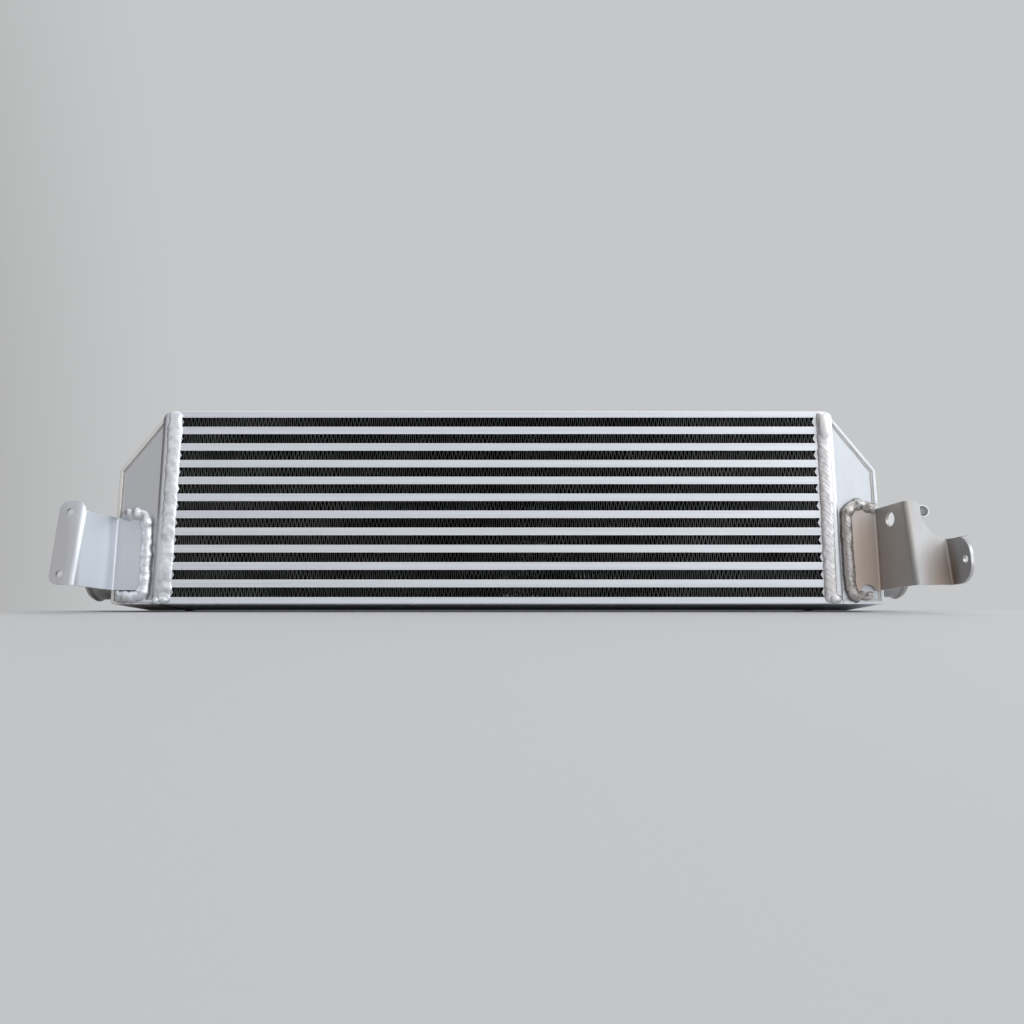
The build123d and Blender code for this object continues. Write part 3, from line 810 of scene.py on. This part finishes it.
@dataclass
class FinPack:
    """The fin rows at their true pitch: offset strips, one behind another.

    The moves of the folds and the widths of their crests are shares of half a wave.
    """

    metal: FinMetal = FinMetal("strip_metal")
    wave: float = 4.2 * MM
    thickness: float = 0.2 * MM
    # the inner strips are thick so that, with the fins' painted shade, no light shows through the
    # core
    inner_thickness: float = 1.0 * MM
    strips: int = 7
    strip_gap: float = 0.15 * MM
    jitter: float = 0.22
    lean: float = 0.16
    crest: float = 0.30
    crest_spread: float = 0.42
    crest_quick: float = 0.12
    crest_limits: Pair = (0.12, 0.46)

    def crease(self, row: int, strip: int, index: int) -> Pair:
        """How far a fold is moved along the row, and how wide its crest is: wide for upright walls.

        Args:
            row: The row's number.
            strip: The strip's number, counted from the front.
            index: The fold's number along the strip.

        Returns:
            The move and half the crest's width, as shares of half a wave.
        """
        lean, loose, slow, quick = (noise.noise(Vector(key)) for key in (
            (index / 17.0, row * 3.1, strip * 1.3),
            (index * 0.83, row * 7.7, strip * 2.9),
            (index / 11.0, row * 5.3 + 2.0, strip * 0.7),
            (index * 0.61, row * 2.3, strip * 1.9 + 5.0),
        ))
        move = self.lean * lean * (1 if index % 2 else -1) + self.jitter * loose
        least, most = self.crest_limits
        crest = self.crest + self.crest_spread * slow + self.crest_quick * quick
        return move, min(most, max(least, crest))

    def strip(self, row: int, number: int, low: Vector, high: Vector) -> Shape:
        """One folded strip as a closed solid.

        Args:
            row: The row's number.
            number: The strip's number, counted from the front.
            low: The row's lowest corner.
            high: The row's highest corner.

        Returns:
            The strip's shape.
        """
        folds = 2 * round((high.x - low.x) / self.wave)
        half = (high.x - low.x) / folds
        depth = (high.y - low.y) / self.strips
        front = low.y + number * depth
        stations = 2 * folds + 1
        outermost = number in (0, self.strips - 1)
        thickness = self.thickness if outermost else self.inner_thickness
        shift = half / 2 * (number % 2)
        mesh = bmesh.new()
        bmesh.ops.create_grid(mesh, x_segments=stations, y_segments=1, size=0.5)
        for vert in mesh.verts:
            station = round((vert.co.x + 0.5) * stations)
            index, second = divmod(station, 2)
            raised = (index + number // 2) % 2 == 1
            inner = thickness if (vert.co.y > 0) != raised else 0.0
            move, crest = self.crease(row, number, index)
            reach = max(0.04 * half, half * crest - inner)
            x = low.x + half * (index + move) + (reach if second else -reach) + shift
            if station in (0, stations):
                x = low.x if station == 0 else high.x
            z = high.z - inner if raised else low.z + inner
            vert.co = Vector((min(high.x, max(low.x, x)), front, z))
        grown = bmesh.ops.extrude_face_region(mesh, geom=mesh.faces[:])
        moved = [item for item in grown["geom"] if isinstance(item, bmesh.types.BMVert)]
        bmesh.ops.translate(mesh, verts=moved, vec=(0, depth - self.strip_gap, 0))
        bmesh.ops.recalc_face_normals(mesh, faces=mesh.faces)
        return mesh

    def build(self) -> None:
        """Builds every row in place of its coarse stand-in."""
        rows = sorted(node for node in frame["nodes"] if node.startswith("cold_fin"))
        for row, node in enumerate(rows):
            low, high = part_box(node)
            shapes = [self.strip(row, number, low, high) for number in range(self.strips)]
            unite(f"{node}_strips", shapes, self.metal, Slot.FIN, node, smooth=False)
        # the charge fins take the same painted light and shade
        paint_node("charge_fins", self.metal)


@dataclass
class Header:
    """One header frame and the beads that join it to the core. Sizes are in millimetres.

    The edges of the upright beads are given as their x at the foot and at the top.
    """

    side: Side
    metal: SheetMetal
    weld: WeldMetal
    inner: Pair
    outer: Pair
    drops: Sequence[Bead | Blob] = ()
    crown: float = 1.9
    lean: float = 0.0
    ripple: float = 0.3
    pitch: float = 2.6
    lumps: Sequence[Lump] = ()
    bars: float = 44.9
    front_face: float = 47.9
    rear_face: float = 47.7
    heights: Pair = (1.8, 194.4)
    rear_edges: tuple[Pair, Pair] = ((319.6, 320.2), (328.7, 328.7))
    top: Pair = (328.6, 193.6)
    top_reach: float = 43.0
    edge: float = 0.6

    def path(self, inner: Pair, outer: Pair, face: float) -> tuple[Route, float]:
        """The route of an upright bead that lies from the bars' faces to the frame.

        Args:
            inner: How far from the middle its inner edge is, at the foot and at the top.
            outer: How far from the middle its outer edge is, at the foot and at the top.
            face: The y of its outer edge, negative on the front.

        Returns:
            The route, and half the bead's width at the top.
        """
        route, width = [], 0.0
        sign = 1 if face > 0 else -1
        for near, far, z in zip(inner, outer, self.heights):
            low = self.side.place(near, sign * self.bars, z)
            high = self.side.place(far, face, z)
            along = (high - low).normalized()
            out = Vector((-self.side.value * abs(along.y), sign * abs(along.x), 0))
            route.append(((low + high) / 2, out))
            width = (high - low).length / MM / 2
        return route, width

    def front(self) -> Bead:
        """The wide bead up the front, which runs on over the frame's face, with painted shade along
        its left-hand edge.
        """
        route, half_width = self.path(self.inner, self.outer, -self.front_face)
        return Bead(route, half_width, self.crown, pitch=self.pitch, ripple=self.ripple,
                    lean=self.lean, taper=1.1, knead=0.6, fray=0.12, end_length=4.5, sides=44,
                    shaded_edge=-1.0, seed=3.0 + self.side.value, lumps=self.lumps)

    def rear(self) -> Bead:
        """The plain bead up the rear, which ends at the frame's edge."""
        route, half_width = self.path(*self.rear_edges, self.rear_face)
        return Bead(route, half_width, 0.45, pitch=3.3, ripple=0.34, lean=0.5, knead=0.15,
                    scallop=0.08, end_length=4.0, sides=28, seed=5.0 + self.side.value)

    def over(self) -> Bead:
        """The narrow bead across the top.

        Returns:
            The bead.
        """
        x, z = self.top
        out = Vector((self.side.value, 0, 1))
        route = [(self.side.place(x, y, z), out) for y in (-self.top_reach, self.top_reach)]
        return Bead(route, 1.9, 0.8, root=0.5, pitch=2.4, ripple=0.12, seed=7.0 + self.side.value,
                    sides=14)

    def build(self) -> None:
        """Builds the frame's finished copy and its beads."""
        word = self.side.word
        refine(f"{word}_header_frame", self.edge, self.metal, Slot.TANK, f"{word}_header_finished")
        shapes = [bead.build() for bead in (self.front(), self.rear(), self.over(), *self.drops)]
        unite(f"{word}_core_bead", shapes, self.weld, Slot.WELD, f"{word}_core_weld")


@dataclass
class Tank:
    """One end tank: its bent strip, its two plates and their seams. Sizes are in millimetres.

    The corners of the seams are given as x and z.
    """

    side: Side
    metal: SheetMetal
    plate: SheetMetal
    seam: WeldMetal
    seam_half_width: float = 1.5
    seam_crown: float = 0.6
    shoulder: Pair = (339.0, 180.6)
    knee: Pair = (374.6, 132.9)
    floor: float = 3.6
    plate_face: float = 43.3
    roof_end: Pair = (337.5, 188.1)
    roof_reach: float = 41.0
    edge: float = 0.45
    plate_edge: float = 0.2

    def plate_seam(self, sign: int) -> Bead:
        """The seam round a plate: down the slant, down the side and along the floor.

        Args:
            sign: -1 for the front plate and 1 for the rear one.

        Returns:
            The seam.
        """
        corners = (self.shoulder, self.knee, (self.knee[0], self.floor),
                   (self.shoulder[0], self.floor))
        out = Vector((0, sign, 0))
        route = [(self.side.place(x, self.plate_face * sign, z), out) for x, z in corners]
        return Bead(route, self.seam_half_width, self.seam_crown, root=0.8, pitch=2.4, ripple=0.18,
                    scallop=0.22, rounding=0.8, seed=11.0 + sign + 4 * self.side.value, sides=14)

    def roof_seam(self) -> Bead:
        """The bead across the roof's upper end, where it meets the header frame's shoulder.

        Returns:
            The bead.
        """
        x, z = self.roof_end
        out = Vector((self.side.value * 0.80, 0, 0.60))
        route = [(self.side.place(x, y, z), out) for y in (-self.roof_reach, self.roof_reach)]
        return Bead(route, 3.3, 0.9, root=1.4, pitch=3.2, ripple=0.36, knead=0.2, scallop=0.1,
                    fray=0.12, seed=17.0 + self.side.value, sides=24)

    def build(self) -> None:
        """Builds the tank's finished sheets and seams."""
        tank = f"{self.side.word}_tank"
        refine(f"{tank}_wrap", self.edge, self.metal, Slot.TANK)
        unite(f"{tank}_roof_seam", [self.roof_seam().build()], self.seam, Slot.WELD)
        for where, sign in (("front", -1), ("rear", 1)):
            refine(f"{tank}_{where}_plate", self.plate_edge, self.plate, Slot.TANK)
            seam = self.plate_seam(sign).build()
            unite(f"{tank}_{where}_seam", [seam], self.seam, Slot.WELD)


@dataclass
class Outlet:
    """One outlet pipe and the bead that joins it to its tank. Sizes are in millimetres."""

    side: Side
    metal: SheetMetal
    weld: WeldMetal
    centre_height: float
    radius: float = 31.75
    wall: float = 378.0
    stand_off: float = 0.6
    points: int = 72
    edge: float = 0.3

    def ring(self) -> Bead:
        """The bead round the pipe at the tank's side wall.

        Returns:
            The bead, which starts and ends below the pipe.
        """
        reach = self.radius + self.stand_off
        route = []
        for index in range(self.points + 1):
            turn = 2 * pi * index / self.points - pi / 2
            across, up = cos(turn), sin(turn)
            place = self.side.place(self.wall + self.stand_off, reach * across,
                                    self.centre_height + reach * up)
            route.append((place, Vector((self.side.value, across, up))))
        return Bead(route, 2.6, 1.5, pitch=2.8, ripple=0.3, rounding=0.4, end_length=2.0,
                    seed=21.0 + self.side.value, sides=14)

    def build(self) -> None:
        """Builds the pipe's finished copy and its bead."""
        outlet = f"{self.side.word}_outlet"
        refine(f"{outlet}_pipe", self.edge, self.metal, Slot.PIPE, f"{outlet}_finished")
        unite(f"{outlet}_bead", [self.ring().build()], self.weld, Slot.WELD)


@dataclass
class Bracket:
    """One folded bracket and the heavy bead round its flange. Sizes are in millimetres.

    The corners of the bead's route are given as x and z.
    """

    side: Side
    metal: SheetMetal
    weld: WeldMetal
    corners: Sequence[Pair]
    lumps: Sequence[Lump]
    drops: Sequence[Bead | Blob] = ()
    half_width: float = 5.2
    crown: float = 7.4
    lean: float = 0.3
    ripple: float = 0.35
    pitch: float = 3.4
    knead: float = 0.7
    # which edge of the heavy bead gets painted shade: 1 the right-hand one, -1 the left-hand one, 0
    # neither
    shaded_edge: float = 0.0
    face: float = -43.9
    edge: float = 0.35

    def build(self) -> None:
        """Builds the bracket's finished copy and its bead."""
        bracket = f"{self.side.word}_bracket"
        refine(bracket, self.edge, self.metal, Slot.BRACKET)
        route = [(self.side.place(x, self.face, z), AHEAD) for x, z in self.corners]
        bead = Bead(route, self.half_width, self.crown, root=0.6, pitch=self.pitch,
                    ripple=self.ripple, lean=self.lean, rounding=1.8, end_length=4.0,
                    seed=31.0 + self.side.value, lumps=self.lumps, sides=44, knead=self.knead,
                    fray=0.12, shaded_edge=self.shaded_edge)
        shapes = [shape.build() for shape in (bead, *self.drops)]
        unite(f"{bracket}_bead", shapes, self.weld, Slot.WELD, f"{bracket}_weld")


@dataclass
class Locator:
    """The sleeve behind the right bracket, and its lug. Their edges are in millimetres."""

    metal: SheetMetal
    sleeve_edge: float = 0.3
    lug_edge: float = 0.4

    def build(self) -> None:
        """Builds the finished copies of the sleeve and lug."""
        refine("locating_sleeve", self.sleeve_edge, self.metal, Slot.PIPE)
        refine("locating_lug", self.lug_edge, self.metal, Slot.BRACKET)


@dataclass(frozen=True)
class Lamp:
    """One rectangular soft lamp; its power is in watts."""

    name: str
    place: Triple
    aim: Triple
    size: Pair
    power: float
    colour: Triple = (1.0, 1.0, 1.0)
    spread: float = radians(120.0)

    def build(self) -> None:
        """Adds the lamp to the scene."""
        data = bpy.data.lights.new(self.name, "AREA")
        data.shape = "RECTANGLE"
        data.size, data.size_y = self.size
        data.energy = self.power
        data.spread = self.spread
        data.color = self.colour
        lamp = bpy.data.objects.new(self.name, data)
        lamp.location = self.place
        ahead = Vector(self.aim) - Vector(self.place)
        lamp.rotation_euler = ahead.to_track_quat("-Z", "Y").to_euler()
        bpy.context.scene.collection.objects.link(lamp)


@dataclass
class Studio:
    """The camera, the pale sheet that the cooler stands on, the lamps and the surroundings.

    The sheet is flat as far as its crest, and falls towards the viewer from there, ever steeper.
    The surround's light is given on the left and on the right; the two shares are how much
    stronger it is in front and straight above. The lens and sensor are in millimetres.
    """

    camera_place: Triple = (0.0150, -0.9305, -0.0657)
    camera_pitch: float = radians(100.06)
    camera_yaw: float = radians(0.04)
    lens: float = 31.82
    sensor: float = 36.0
    clip: Pair = (0.005, 100.0)
    sheet_half_width: float = 6.0
    sheet_ends: Pair = (-4.0, 7.0)
    sheet_cells: tuple[int, int] = (8, 440)
    crest: float = 0.042
    fall: float = tan(radians(4.7))
    fall_growth: float = 0.09
    light: Pair = (0.18, 0.58)
    front_share: float = 1.36
    top_share: float = 1.2
    left_tone: Triple = (1.0, 0.93, 0.87)
    right_tone: Triple = (0.965, 0.985, 1.0)
    lamps: Sequence[Lamp] = (
        Lamp("key", (1.5, -1.7, 1.2), (0.1, 0.0, 0.1), (1.8, 1.8), 2.8),
        Lamp("side", (2.7, -0.75, 1.0), (-0.3, 0.0, 0.08), (2.7, 1.8), 12.5, (0.95, 0.98, 1.0)),
        Lamp("overhead", (0.0, 0.1, 1.9), (0.0, 0.0, 0.1), (2.2, 0.9), 2.8),
    )

    def camera(self) -> None:
        """Creates the camera at the photograph's place and makes it the scene's."""
        data = bpy.data.cameras.new("camera")
        data.lens = self.lens
        data.sensor_width = self.sensor
        data.clip_start, data.clip_end = self.clip
        camera = bpy.data.objects.new("camera", data)
        camera.location = self.camera_place
        camera.rotation_euler = (self.camera_pitch, 0.0, self.camera_yaw)
        bpy.context.scene.collection.objects.link(camera)
        bpy.context.scene.camera = camera

    def sheet(self) -> None:
        """Builds the floor: flat behind the cooler and falling gently away in front of it."""
        columns, rows = self.sheet_cells
        near, far = self.sheet_ends
        mesh = bmesh.new()
        bmesh.ops.create_grid(mesh, x_segments=columns, y_segments=rows, size=0.5)
        for vert in mesh.verts:
            x = 2 * self.sheet_half_width * vert.co.x
            y = near + (far - near) * (vert.co.y + 0.5)
            ahead = max(0.0, self.crest - y)
            vert.co = Vector((x, y, -self.fall * ahead - self.fall_growth * ahead * ahead))
        floor = new_object("studio_floor", mesh)
        floor.data.materials.append(Paper().make())

    def surroundings(self) -> None:
        """Lights the studio with a pale surround, brighter on the right, in front and above."""
        world = bpy.data.worlds.new("studio")
        bpy.context.scene.world = world
        world.use_nodes = True
        graph = Graph(world.node_tree)
        right, behind, above = graph.parts(graph.add("TexCoord").outputs["Generated"])
        share = graph.remap(right, (-0.95, -0.35), (0.0, 1.0), smooth=True)
        tone = graph.mix(share, self.left_tone, self.right_tone)
        level, front, top = (
            graph.remap(place, source, result, smooth=True) for place, source, result in (
                (right, (-0.85, -0.30), self.light),
                (behind, (-0.35, 0.25), (self.front_share, 1.0)),
                (above, (0.66, 0.95), (1.0, self.top_share)),
            ))
        strength = graph.maths("MULTIPLY", graph.maths("MULTIPLY", level, front), top)
        light = graph.add("Background", {"Color": tone, "Strength": strength})
        graph.add("OutputWorld", {"Surface": light.outputs["Background"]})

    def build(self) -> None:
        """Builds the whole studio."""
        self.camera()
        self.sheet()
        self.surroundings()
        for lamp in self.lamps:
            lamp.build()
        bpy.context.scene.view_settings.view_transform = "Standard"


def left_end() -> None:
    """Builds the left header, tank, outlet and bracket with their finishes and beads."""
    side = Side.LEFT
    weld = WeldMetal("left_weld_metal", (0.78, 0.80, 0.84), (0.38, 0.36, 0.37),
                     crease_share=0.35, stain_share=0.5)

    # the left column is a shaded copy of the column metal, painted darker, with a painted highlight
    # down its face and painted shade in the groove at its seam with the plate
    painted_highlight = Tint((0.80, 0.82, 0.86), (-331.0, -48.0, 100.0), (5.0, 6.0, 300.0), 0.8, 0.2)
    groove_shade = Tint((0.16, 0.12, 0.10), (-338.6, -47.0, 95.0), (1.4, 7.0, 300.0), 0.85, 0.4)
    column = SheetMetal("left_column_metal", (0.46, 0.46, 0.49),
                        (0.37, 0.355, 0.355), painted_lights=(painted_highlight, groove_shade))
    foot = [(side.place(x, y, 2.8), Vector((0, -1, -0.1)))
            for x, y in ((352.5, -44.6), (339.0, -45.2), (329.0, -47.2))]
    drops = [Blob(side.place(325.4, -47.0, 4.1), (4.8, 3.6, 3.9), seed=1.0),
             Blob(side.place(333.0, -47.6, 3.5), (3.2, 2.2, 3.3), seed=2.0),
             Bead(foot, 1.9, 1.9, root=0.5, pitch=3.6, ripple=0.12, knead=0.3, fray=0.1,
                  wander=0.1, seed=6.0)]
    swells = [Lump(14.0, 6.0, 1.0, 0.6), Lump(52.0, 9.0, 0.7, 0.5), Lump(170.0, 12.0, 1.0, 0.6)]
    Header(side, column, weld, (319.6, 319.0), (332.0, 331.6), drops, pitch=11.0, ripple=0.08,
           lumps=swells).build()

    # the left tank's plate and seams are shaded copies, painted darker than the right tank's:
    # painted shade
    Tank(side,
         SheetMetal("left_tank_sheet", (0.82, 0.79, 0.76), (0.74, 0.72, 0.70)),
         SheetMetal("left_plate_metal", (0.58, 0.58, 0.61)),
         WeldMetal("left_seam_metal", (0.42, 0.40, 0.40))).build()
    pipe = SheetMetal("left_pipe_metal", (0.42, 0.40, 0.39))
    Outlet(side, pipe, weld, centre_height=40.0).build()

    # painted light and shade on the bracket: the web is painted light and bluish, the outer panel
    # painted darker
    web = Tint((0.92, 0.96, 1.0), (-387.0, -74.0, 50.0), (15.0, 27.0, 120.0), 0.95, 0.7)
    panel = Tint((0.60, 0.59, 0.61), (-409.0, -100.0, 50.0), (16.0, 9.0, 120.0), 0.95, 0.6)
    sheet = SheetMetal("left_bracket_metal", (0.66, 0.68, 0.72), (0.62, 0.64, 0.68),
                       painted_lights=(web, panel))
    corners = [(372.5, 86.8), (358.0, 89.4), (349.4, 88.0), (347.3, 80.0), (346.1, 64.0),
               (345.8, 40.0), (345.6, 16.0), (347.4, 9.0), (356.0, 6.9), (372.5, 7.2)]
    swells = [Lump(8.0, 4.0, 1.6, 1.4), Lump(16.0, 5.0, 1.8, 1.8), Lump(31.0, 7.5, 1.3, 1.8),
              Lump(41.0, 4.0, -0.7, -0.6), Lump(60.0, 9.0, 0.4, 0.4), Lump(99.0, 6.0, 0.8, 1.0),
              Lump(112.0, 3.0, 0.5, 0.5), Lump(118.5, 3.0, 0.5, 0.5)]
    claws = [Blob(side.place(x, -46.0, z), (2.7, 4.6, 6.4), seed=x)
             for x, z in ((370.2, 7.6), (363.8, 7.0), (357.0, 6.8))]
    Bracket(side, sheet, weld, corners, swells, claws, pitch=12.0, ripple=0.10, knead=0.9,
            half_width=5.9).build()


def right_end() -> None:
    """Builds the right header, tank, outlet and bracket with their finishes and beads."""
    side = Side.RIGHT
    weld = WeldMetal("right_weld_metal", (0.88, 0.87, 0.89), (0.46, 0.38, 0.36),
                     crease_share=0.5)
    heavy_weld = WeldMetal("right_bracket_weld_metal", (0.60, 0.575, 0.565),
                           (0.19, 0.145, 0.12), crease_share=0.9, stain_share=0.6)

    # the right column is the lit copy of the column metal: painted lighter and bluer than the left
    column = SheetMetal("right_column_metal", (0.84, 0.86, 0.90), (0.76, 0.78, 0.83))
    drops = [Blob(side.place(329.8, -47.2, 5.2), (6.0, 3.8, 5.0), seed=3.0),
             Blob(side.place(328.8, -47.4, 178.6), (6.3, 4.4, 14.6), seed=8.0)]
    Header(side, column, weld, (319.9, 322.2), (331.4, 333.7), drops, crown=2.3, lean=1.1,
           ripple=0.27, pitch=4.9, lumps=[Lump(150.0, 9.0, 0.4, 0.4)]).build()

    # the right tank's plate and seams are lit copies, painted lighter than the left tank's
    Tank(side,
         SheetMetal("right_tank_sheet", (0.80, 0.82, 0.86), (0.74, 0.76, 0.80)),
         SheetMetal("right_plate_metal", (0.74, 0.77, 0.82), (0.67, 0.70, 0.75)),
         WeldMetal("right_seam_metal", (0.66, 0.64, 0.64)),
         seam_half_width=1.9, seam_crown=0.8).build()
    pipe = SheetMetal("right_pipe_metal", (0.48, 0.47, 0.46))
    Outlet(side, pipe, weld, centre_height=42.5).build()

    # painted light and shade on the bracket: warm painted reflections on the flange and at the
    # foot, painted shade on the web and the tab
    flange = Tint((0.53, 0.43, 0.365), (362.0, -46.0, 30.0), (26.0, 14.0, 110.0), 0.9, 0.3)
    web = Tint((0.54, 0.515, 0.49), (384.0, -76.0, 45.0), (16.0, 27.0, 130.0), 0.9, 0.7)
    foot = Tint((0.34, 0.28, 0.24), (413.0, -101.0, 10.0), (33.0, 16.0, 68.0), 0.95, 0.2)
    tab = Tint((0.62, 0.565, 0.50), (434.0, -92.0, 35.0), (17.5, 30.0, 80.0), 0.95, 0.8)
    sheet = SheetMetal("right_bracket_metal", (0.58, 0.585, 0.60),
                       (0.52, 0.52, 0.53), painted_lights=(flange, web, foot, tab))
    corners = [(376.5, 92.5), (367.0, 95.6), (358.0, 98.4), (350.0, 96.0), (345.9, 89.0),
               (345.4, 75.0), (345.3, 38.0), (345.8, 17.0), (348.2, 8.6), (355.5, 5.9)]
    swells = [Lump(4.0, 3.0, 0.4, 0.5), Lump(10.5, 3.5, 0.9, 1.2), Lump(19.5, 4.5, 1.5, 1.8),
              Lump(33.0, 5.0, 0.7, 1.0), Lump(118.0, 8.0, 0.3, 0.5)]
    middle_x, middle_z, reach = 361.4, 10.8, 5.0
    turns = [radians(150 + 24 * step) for step in range(9)]
    curl = [(side.place(middle_x + reach * cos(turn), -44.0, middle_z + reach * sin(turn)), AHEAD)
            for turn in turns]
    puddle = [Bead(curl, 2.4, 3.6, pitch=3.4, ripple=0.2, lean=0.6, knead=0.3, fray=0.1,
                   rounding=0.8, seed=9.0),
              Blob(side.place(364.6, -44.8, 9.2), (4.0, 3.4, 3.2), seed=4.0)]
    # the heavy bead's right-hand edge gets painted shade
    Bracket(side, sheet, heavy_weld, corners, swells, puddle, lean=1.2, ripple=0.5, pitch=4.2,
            shaded_edge=1.0, half_width=5.7, knead=1.0).build()
    Locator(SheetMetal("locator_metal", (0.74, 0.74, 0.76))).build()


def main() -> None:
    """Builds the studio and every piece."""
    logging.basicConfig(level=logging.INFO, format="%(message)s")
    Studio().build()
    Core().build()
    FinPack().build()
    left_end()
    right_end()


if __name__ == "__main__":
    main()
